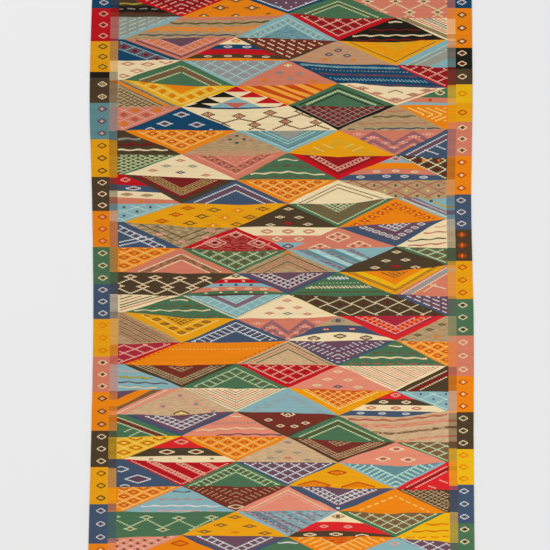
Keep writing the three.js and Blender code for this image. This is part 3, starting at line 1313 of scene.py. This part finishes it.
def shared_column(column, blocks, step_in):
    """Lays the column in which border and field wools take turns, pick by pick."""
    edge = [
        number
        for number, (_, _, outline) in enumerate(LAID)
        if any(abs(x - between(FIELD_LINES, y, column)) < NEAR for x, y in outline)
    ]
    runs = []
    y = END
    while y > -END:
        low = max(y - SHARED_STEP, -END)
        middle = (y + low) / 2
        field = YARNS[ground_at(edge, between(FIELD_LINES, middle, column) + step_in, middle)][0]
        border = next(wool for end, wool, *_ in blocks if middle >= end)
        if runs and runs[-1][2:] == (border, field):
            runs[-1] = (runs[-1][0], low, border, field)
        else:
            runs.append((y, low, border, field))
        y = low
    for top, low, border, field in runs:
        outer = edge_points(BORDER_LINES, column, top, low)
        near = edge_points(FIELD_LINES, column, top, low)
        lay(yarn(border, field, 1), outer + near[::-1])
    return len(runs)


print(shared_column(0, LEFT_BLOCKS, 3), "runs of shared picks on the left")
print(shared_column(1, RIGHT_BLOCKS, -3), "on the right,", len(YARNS), "yarns in all")

# %% [markdown]
# ## From outlines to cloth
# The outlines overlap, cross and touch. Knife cuts could split a grid along each of them, but
# a Delaunay triangulation takes them all at once and says which areas each triangle lies in,
# so the last one laid wins. Loose points between them let the cloth rise and fall. The flat
# sheet is then given its thickness, its rim is rounded, and the whole is bent to shape.

# %% One flat sheet of many wools
LOOSE_STEP = 42  # the distance between the loose points
LOOSE_REACH = 720  # how far they reach to both sides, just short of the selvedges
MERGED = 1e-4  # points closer together than this are taken as one


def flat_sheet():
    """The triangles of the sheet, each with the number of its yarn."""
    points, outlines = [], []
    for _, _, outline in LAID:
        start = len(points)
        points += [Vector(p) for p in outline]
        outlines.append(list(range(start, len(points))))
    over, up = int(LOOSE_REACH / LOOSE_STEP), int(END / LOOSE_STEP)
    for n in range(-over, over + 1):
        for m in range(-up, up + 1):
            points.append(Vector(((n + m % 2 / 2) * LOOSE_STEP, m * LOOSE_STEP)))
    cdt = geometry.delaunay_2d_cdt(points, [], outlines, 1, MERGED, True)
    places, _, triangles, _, _, areas_of = cdt
    yarns = []
    for areas in areas_of:
        shown = [n for n in areas if LAID[n][1] is None or LAID[n][1] in areas]
        yarns.append(LAID[max(shown)][0] if shown else None)
    return places, triangles, yarns


places, triangles_of_cloth, yarns_of_cloth = flat_sheet()
print(len(places), "points and", len(triangles_of_cloth), "triangles in the flat sheet")

# %% [markdown]
# ## How the cloth lies
# A rug that was folded for storage keeps a soft ridge along its length, and a hand-woven
# cloth never lies quite flat: it lifts by a millimetre or two in broad, shallow waves. The
# selvedge is thicker, because the weft turns round several warps there. A function gives the
# lift at any place, so that the cloth and the stitches on it rise and fall together.

# %% Lift
THICK = 3.0  # the thickness and the fold ridge are those of the frame
FOLD = {"across": 18, "height": 0.9, "half_width": 36}
WAVES = [  # length along and across the rug, its direction in degrees, and height
    (410, 12, 0.34),
    (290, 71, 0.30),
    (173, 118, 0.22),
    (96, 40, 0.10),
]
SELVEDGE = {"width": 7, "height": 0.5}  # how wide and how high it bulges
CALM = 60  # the waves die out over this distance from the woven ends


def lift(x, y):
    """How far the cloth lies above the floor at one place."""
    high = 0
    for length, degrees, height in WAVES:
        way = math.radians(degrees)
        along = x * math.cos(way) + y * math.sin(way)
        high += height * (1 + math.sin(2 * math.pi * along / length))
    return high * max(0, min(1, (END - abs(y)) / CALM))


def top_of_cloth(x, y):
    """The height of the upper face, with the fold line and the thick selvedges."""
    ridge = FOLD["height"] * math.exp(-(((x - FOLD["across"]) / FOLD["half_width"]) ** 2))
    edge = min(x - between(SELVEDGES, y, 0), between(SELVEDGES, y, 1) - x)
    bulge = SELVEDGE["height"] * math.exp(-(((edge - 4) / SELVEDGE["width"]) ** 2) * 3)
    return THICK + lift(x, y) + ridge + bulge


print("lift of the middle:", round(lift(0, 0), 2), "mm")

# %% Thickness, rim and shape
RIM = 1.3  # how far the rim is rounded


def cloth_mesh():
    """The whole cloth as one closed mesh, with the number of its yarn on each face."""
    bm = bmesh.new()
    corners = [bm.verts.new((x, y, 0)) for x, y in places]
    for triangle, number in zip(triangles_of_cloth, yarns_of_cloth):
        if number is not None:
            bm.faces.new([corners[n] for n in triangle]).material_index = number
    loose_ends = [v for v in bm.verts if not v.link_faces]
    bmesh.ops.delete(bm, geom=loose_ends, context="VERTS")
    sheet = bm.faces[:] + bm.edges[:] + bm.verts[:]
    bmesh.ops.solidify(bm, geom=sheet, thickness=-THICK)
    rim = [e for e in bm.edges if e.is_manifold and e.calc_face_angle() > 1]
    bmesh.ops.bevel(bm, geom=rim, offset=RIM, affect="EDGES", segments=3, profile=0.5, material=-1)
    bmesh.ops.recalc_face_normals(bm, faces=bm.faces)
    low = min(vertex.co.z for vertex in bm.verts)
    for vertex in bm.verts:
        x, y, z = vertex.co
        share = (z - low) / THICK
        vertex.co.z = lift(x, y) * (1 - share) + top_of_cloth(x, y) * share
    bmesh.ops.scale(bm, vec=(MM, MM, MM), verts=bm.verts)
    mesh = bpy.data.meshes.new("kilim_cloth")
    bm.to_mesh(mesh)
    bm.free()
    return mesh


cloth_shape = cloth_mesh()
heights = [v.co.z for v in cloth_shape.vertices]
print("cloth:", len(cloth_shape.polygons), "faces, from", min(heights), "to", max(heights))
closed = bmesh.new()
closed.from_mesh(cloth_shape)
print("litres:", round(closed.calc_volume(signed=True) * 1000, 2))
closed.free()

# %% [markdown]
# ## Colour on every face
# Each face carries its yarn as three attributes: the main wool, the second wool, and how the
# two share. One material can then finish the whole cloth, and the joins stay as sharp as the
# faces are. A map seen from above is added for those who want to paint on the cloth later.

# %% Attributes and the map
MAP_RIM = 0.01  # the share of the map that stays empty on each side
MAP_SKEW = 0.3  # how far a point shifts on the map for each unit of height
MAP_ROOM = 0.004  # what the skew needs beyond the box, in metres


def add_map(mesh):
    """A map of the piece as seen from above, with a slight skew that opens upright faces."""
    (low_x, low_y, _), (high_x, high_y, _) = CAD_BOX
    points = [0.0] * (3 * len(mesh.vertices))
    mesh.vertices.foreach_get("co", points)
    layer = mesh.uv_layers.new(name="OFBake")
    within = 1 - 2 * MAP_RIM
    places_on_map = []
    for loop in mesh.loops:
        x, y, z = points[3 * loop.vertex_index : 3 * loop.vertex_index + 3]
        places_on_map += [
            MAP_RIM + within * (x + MAP_SKEW * z - low_x) / (high_x - low_x + MAP_ROOM),
            MAP_RIM + within * (y + MAP_SKEW * z - low_y) / (high_y - low_y + MAP_ROOM),
        ]
    layer.data.foreach_set("uv", places_on_map)


def add_attribute(mesh, name, kind, domain, part, numbers):
    """A new attribute with its values, given as one flat list."""
    mesh.attributes.new(name, kind, domain).data.foreach_set(part, numbers)


def colour_faces(mesh):
    """Turns the yarn numbers of the faces into attributes for the material."""
    yarns = [YARNS[face.material_index] for face in mesh.polygons]
    main = [n for first, _, _ in yarns for n in linear(WOOLS[first])]
    second = [n for _, other, _ in yarns for n in linear(WOOLS[other])]
    add_attribute(mesh, "wool", "FLOAT_COLOR", "FACE", "color", main)
    add_attribute(mesh, "second_wool", "FLOAT_COLOR", "FACE", "color", second)
    add_attribute(mesh, "sharing", "FLOAT", "FACE", "value", [way for _, _, way in yarns])
    mesh.polygons.foreach_set("material_index", [0] * len(yarns))
    mesh.polygons.foreach_set("use_smooth", [True] * len(yarns))


colour_faces(cloth_shape)
add_map(cloth_shape)
print("yarns in use:", len(YARNS))

# %% [markdown]
# ## What wool looks like
# A weft-faced weave shows only wefts: short floats, half a centimetre long and two millimetres
# high, set like bricks. Hand-dyed wool is streaky along the weft, a drift of tone called
# abrash, and it is matt and a little hairy. Noise stretched along X makes the streaks, two
# sine waves make the bricks, and everything reads the piece's own place in the rug.

# %% Helpers for materials
def add(tree, kind, links=(), **values):
    """A node with its values set, and with some of its inputs linked."""
    node = tree.nodes.new("ShaderNode" + kind)
    for name, value in values.items():
        setattr(node, name, value)
    for name, value in links:
        socket = node.inputs[name]
        if isinstance(value, bpy.types.NodeSocket):
            tree.links.new(value, socket)
        else:
            socket.default_value = value
    return node


def maths(tree, operation, *numbers):
    """The result of one sum on numbers or sockets."""
    node = add(tree, "Math", list(enumerate(numbers)), operation=operation)
    return node.outputs[0]


def mixed(tree, share, first, second, blend="MIX"):
    """Two colours mixed by a share."""
    links = [("Factor", share), (6, first), (7, second)]
    return add(tree, "Mix", links, data_type="RGBA", blend_type=blend).outputs[2]


def noise(tree, where, scale, stretch=(1, 1, 1), detail=2):
    """Noise of a given number of waves per metre, stretched by a scale on each axis."""
    spread = add(tree, "Mapping", [("Vector", where), ("Scale", stretch)]).outputs[0]
    links = [("Vector", spread), ("Scale", scale), ("Detail", detail)]
    return add(tree, "TexNoise", links).outputs[0]


SHEEN = 0.05  # wool hardly shines
RELIEF = 0.0004  # how high the finest bumps stand, in metres


def relief(tree, shader, height, strength):
    """Adds bumps that are too fine for the mesh."""
    links = [("Height", height), ("Strength", strength), ("Distance", RELIEF)]
    tree.links.new(add(tree, "Bump", links).outputs[0], shader.inputs["Normal"])


def new_wool(name, roughness):
    """A matt, slightly hairy material, its tree, its shader and the place on the piece."""
    material = bpy.data.materials.new(name)
    material.use_nodes = True
    tree = material.node_tree
    shader = next(n for n in tree.nodes if n.type == "BSDF_PRINCIPLED")
    shader.inputs["Roughness"].default_value = roughness
    shader.inputs["Specular IOR Level"].default_value = SHEEN
    where = add(tree, "TexCoord").outputs["Object"]
    return material, tree, shader, where


DYE_AND_PAINTED_LIGHT = {  # how the tone changes: its level, the share of blue, a painted light and shade gradient per metre (lighter to the east and south), and by noise
    "level": 0.975,
    "blue": 0.965,
    "painted_light_per_metre": (0.07, -0.075),
    "streaks": 0.24,
    "flecks": 0.30,
}


def toned(tree, where, colour):
    """Hand-dyed wool: streaks along the weft and fine flecks, with painted shade that darkens the north and
    west and painted light towards the south and east.
    """
    streaks = noise(tree, where, 9, (0.35, 9, 0), 3)
    flecks = noise(tree, where, 260, (0.6, 1, 0), 2)
    x, y, _ = add(tree, "SeparateXYZ", [(0, where)]).outputs
    # painted light and shade: the colour gets lighter towards the east and darker towards the north
    east, north = (maths(tree, "MULTIPLY", n, slope) for n, slope in zip((x, y), DYE_AND_PAINTED_LIGHT["painted_light_per_metre"]))
    level = maths(tree, "ADD", maths(tree, "ADD", east, north), DYE_AND_PAINTED_LIGHT["level"])
    for field, name in ((streaks, "streaks"), (flecks, "flecks")):
        change = maths(tree, "MULTIPLY_ADD", field, DYE_AND_PAINTED_LIGHT[name], -DYE_AND_PAINTED_LIGHT[name] / 2)
        level = maths(tree, "ADD", level, change)
    warm = maths(tree, "MULTIPLY", level, DYE_AND_PAINTED_LIGHT["blue"])
    light = add(tree, "CombineXYZ", [(0, level), (1, level), (2, warm)]).outputs[0]
    return mixed(tree, 1, colour, light, "MULTIPLY")


# %% The cloth's material
WARP_PITCH = 4.4 * MM
WEFT_PITCH = 2.2 * MM
SECOND = {"pick": 0.86, "fleck": 0.62}  # how purely the second wool shows in its own places


def cloth_wool():
    """The weave of the whole cloth, in the one or two wools that each face names."""
    material, tree, shader, where = new_wool("woven_wool", 0.93)
    main = add(tree, "Attribute", attribute_name="wool").outputs["Color"]
    second = add(tree, "Attribute", attribute_name="second_wool").outputs["Color"]
    sharing = add(tree, "Attribute", attribute_name="sharing").outputs["Fac"]
    x, y, _ = add(tree, "SeparateXYZ", [(0, where)]).outputs
    wefts = maths(tree, "SINE", maths(tree, "MULTIPLY", y, math.pi / WEFT_PITCH))
    warps = maths(tree, "SINE", maths(tree, "MULTIPLY", x, math.pi / WARP_PITCH))
    bricks = maths(tree, "MULTIPLY", wefts, warps)

    by_pick = maths(tree, "MULTIPLY", maths(tree, "GREATER_THAN", wefts, 0), SECOND["pick"])
    flecks = noise(tree, where, 70, (0.5, 3.2, 0), 2)
    by_fleck = maths(tree, "MULTIPLY", maths(tree, "GREATER_THAN", flecks, 0.5), SECOND["fleck"])
    flecked = maths(tree, "GREATER_THAN", sharing, 1.5)
    shared = maths(tree, "MULTIPLY", maths(tree, "GREATER_THAN", sharing, 0.5), by_pick)
    share = maths(tree, "MULTIPLY", flecked, by_fleck)
    share = add(tree, "Mix", [("Factor", flecked), (2, shared), (3, share)]).outputs[0]
    colour = toned(tree, where, mixed(tree, share, main, second))
    tree.links.new(colour, shader.inputs["Base Color"])

    fuzz = noise(tree, where, 900, (1, 1, 0), 2)
    relief(tree, shader, maths(tree, "ADD", bricks, maths(tree, "MULTIPLY", fuzz, 0.8)), 0.45)
    return material


def put(name, data):
    """A new object in the scene."""
    made = bpy.data.objects.new(name, data)
    bpy.context.scene.collection.objects.link(made)
    return made


def piece(name, mesh, material):
    """A finished piece in the scene, which rides on the rug's one body."""
    made = put(name, mesh)
    mesh.materials.clear()
    mesh.materials.append(material)
    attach(made, "root")
    return made


cloth = piece("kilim_cloth", cloth_shape, cloth_wool())
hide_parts("kilim")

# %% [markdown]
# ## Setting the stitches
# One stitch is a short length of yarn that lies on the cloth and dips into it at both ends. A
# six-sided foot under a short ridge gives that with twelve triangles. Geometry Nodes sets it on
# every place of one wool and joins the result, so each wool's brocade is a single light mesh.

# %% The stitch and its setting
STITCH_RISE = 1.2  # how far the yarn stands above the cloth
STITCH_SINK = 0.3  # how far its foot is set into the cloth
STITCH_FOOT = 1.22  # the foot's width against what shows of it above the cloth
POINT_VECTORS = ("size", "turn")  # what each point tells the nodes


def stitch_mesh():
    """One stitch of unit length and height: a long foot, and a ridge that stands over it."""
    bm = bmesh.new()
    foot = [(-0.5, 0), (-0.34, -0.5), (0.34, -0.5), (0.5, 0), (0.34, 0.5), (-0.34, 0.5)]
    for x, y, z in [(x, y, 0) for x, y in foot] + [(-0.26, 0, 1), (0.26, 0, 1)]:
        bmesh.ops.create_vert(bm, co=(x, y, z))
    bmesh.ops.convex_hull(bm, input=bm.verts)
    mesh = bpy.data.meshes.new("stitch")
    bm.to_mesh(mesh)
    bm.free()
    mesh.polygons.foreach_set("use_smooth", [True] * len(mesh.polygons))
    return mesh


def setting_nodes(stitch_object):
    """A node group that sets the stitch on each point, in the point's own size."""
    group = bpy.data.node_groups.new("set_stitches", "GeometryNodeTree")
    for way in ("INPUT", "OUTPUT"):
        group.interface.new_socket("Geometry", in_out=way, socket_type="NodeSocketGeometry")
    source = group.nodes.new("NodeGroupInput")
    result = group.nodes.new("NodeGroupOutput")
    shape = group.nodes.new("GeometryNodeObjectInfo")
    shape.inputs["Object"].default_value = stitch_object
    read = {}
    for name in POINT_VECTORS:
        read[name] = group.nodes.new("GeometryNodeInputNamedAttribute")
        read[name].data_type = "FLOAT_VECTOR"
        read[name].inputs["Name"].default_value = name
    setting = group.nodes.new("GeometryNodeInstanceOnPoints")
    joining = group.nodes.new("GeometryNodeRealizeInstances")
    for start, end in (
        (source.outputs[0], setting.inputs["Points"]),
        (shape.outputs["Geometry"], setting.inputs["Instance"]),
        (read["turn"].outputs["Attribute"], setting.inputs["Rotation"]),
        (read["size"].outputs["Attribute"], setting.inputs["Scale"]),
        (setting.outputs[0], joining.inputs[0]),
        (joining.outputs[0], result.inputs[0]),
    ):
        group.links.new(start, end)
    return group


template = put("stitch", stitch_mesh())
setting = setting_nodes(template)
print("faces in one stitch:", len(template.data.polygons))


# %% Brocade, one piece for each wool
def brocade_mesh(wool, stitches):
    """The stitches of one wool, set on the cloth and joined."""
    hand = random.Random(wool)
    points = bpy.data.meshes.new("places")
    spots, sizes, turns, tones = [], [], [], []
    for _, x, y, length, height, lean in stitches:
        x += hand.uniform(-0.35, 0.35)
        y += hand.uniform(-0.2, 0.2)
        spots.append((x * MM, y * MM, (top_of_cloth(x, y) - STITCH_SINK) * MM))
        stretch = hand.uniform(0.94, 1.04)
        rise = STITCH_SINK + STITCH_RISE * hand.uniform(0.85, 1.1)
        sizes += [(length + 0.2) * stretch * MM, height * STITCH_FOOT * MM, rise * MM]
        turns += [0, 0, lean + hand.uniform(-0.05, 0.05)]
        tones.append(hand.uniform(-1, 1))
    points.from_pydata(spots, [], [])
    for name, numbers in zip(POINT_VECTORS, (sizes, turns)):
        add_attribute(points, name, "FLOAT_VECTOR", "POINT", "vector", numbers)
    add_attribute(points, "tone", "FLOAT", "POINT", "value", tones)
    holder = put("places", points)
    holder.modifiers.new("set", "NODES").node_group = setting
    graph = bpy.context.evaluated_depsgraph_get()
    mesh = bpy.data.meshes.new_from_object(holder.evaluated_get(graph))
    bpy.data.objects.remove(holder)
    for name in POINT_VECTORS:
        if name in mesh.attributes:
            mesh.attributes.remove(mesh.attributes[name])
    mesh.name = "brocade_" + wool
    add_map(mesh)
    return mesh


def brocade_wool(wool):
    """Yarn of one dye: each stitch has a tone of its own, and fine fibres along its length."""
    material, tree, shader, where = new_wool("brocade_wool_" + wool, 0.9)
    tone = add(tree, "Attribute", attribute_name="tone").outputs["Fac"]
    level = maths(tree, "MULTIPLY_ADD", tone, 0.07, 1.0)
    light = add(tree, "CombineXYZ", [(0, level), (1, level), (2, level)]).outputs[0]
    dyed = mixed(tree, 1, linear(WOOLS[wool]), light, "MULTIPLY")
    tree.links.new(toned(tree, where, dyed), shader.inputs["Base Color"])
    relief(tree, shader, noise(tree, where, 500, (0.5, 2.5, 0), 2), 0.35)
    return material


total = 0
for wool in sorted({row[0] for row in STITCHES}):
    chosen = [row for row in STITCHES if row[0] == wool]
    made = piece("brocade_" + wool, brocade_mesh(wool, chosen), brocade_wool(wool))
    made.data.calc_loop_triangles()
    total += len(made.data.loop_triangles)
    print(f"{wool}: {len(chosen)} stitches, {len(made.data.loop_triangles)} triangles")
bpy.data.objects.remove(template)
print("triangles in the brocade:", total)

# %% [markdown]
# ## The studio
# A rug is pictured from straight above, under wide soft light, on a plain pale floor. The
# world gives an even glow and two large lamps give the relief a side. Their strengths add up
# to a level at which a colour renders about as it is written.

# %% Floor, lights and camera
FLOOR = (235, 235, 235)
FLOOR_SIZE = 16
FLOOR_DROP = 0.0004  # keeps the floor just clear of the underside
EYE = Vector((-0.024, 0, 5.2))
VIEW_WIDTH = 2.2  # what the camera sees across, at the floor


def add_floor():
    mesh = bpy.data.meshes.new("floor")
    bm = bmesh.new()
    bmesh.ops.create_grid(bm, x_segments=1, y_segments=1, size=FLOOR_SIZE / 2)
    bmesh.ops.translate(bm, vec=(0, 0, -FLOOR_DROP), verts=bm.verts)
    bm.to_mesh(mesh)
    bm.free()
    material = bpy.data.materials.new("floor_paint")
    material.use_nodes = True
    shader = next(n for n in material.node_tree.nodes if n.type == "BSDF_PRINCIPLED")
    shader.inputs["Base Color"].default_value = linear(FLOOR)
    shader.inputs["Roughness"].default_value = 1
    shader.inputs["Specular IOR Level"].default_value = 0
    mesh.materials.append(material)
    put("floor", mesh)


def add_lamp(name, place, size, watts):
    """A square soft lamp that faces the middle of the rug."""
    data = bpy.data.lights.new(name, "AREA")
    data.shape = "SQUARE"
    data.size = size
    data.energy = watts
    made = put(name, data)
    made.location = place
    made.rotation_euler = Vector(place).to_track_quat("Z", "Y").to_euler()


def add_world(strength):
    world = bpy.data.worlds.new("studio")
    world.use_nodes = True
    glow = next(n for n in world.node_tree.nodes if n.type == "BACKGROUND")
    glow.inputs["Color"].default_value = (1, 1, 1, 1)
    glow.inputs["Strength"].default_value = strength
    bpy.context.scene.world = world


def add_camera():
    data = bpy.data.cameras.new("camera")
    data.sensor_width = 36
    data.lens = data.sensor_width * EYE.z / VIEW_WIDTH
    data.clip_end = 60
    made = put("camera", data)
    made.location = EYE
    bpy.context.scene.camera = made


add_floor()
add_lamp("key", (-5.5, 4.5, 9.0), 3.0, 413)
add_lamp("fill", (6.0, -5.0, 9.0), 4.0, 315)
add_world(0.58)
add_camera()
bpy.context.scene.view_settings.view_transform = "Standard"
print("the camera sees", VIEW_WIDTH, "m across the floor from", EYE.z, "m above it")
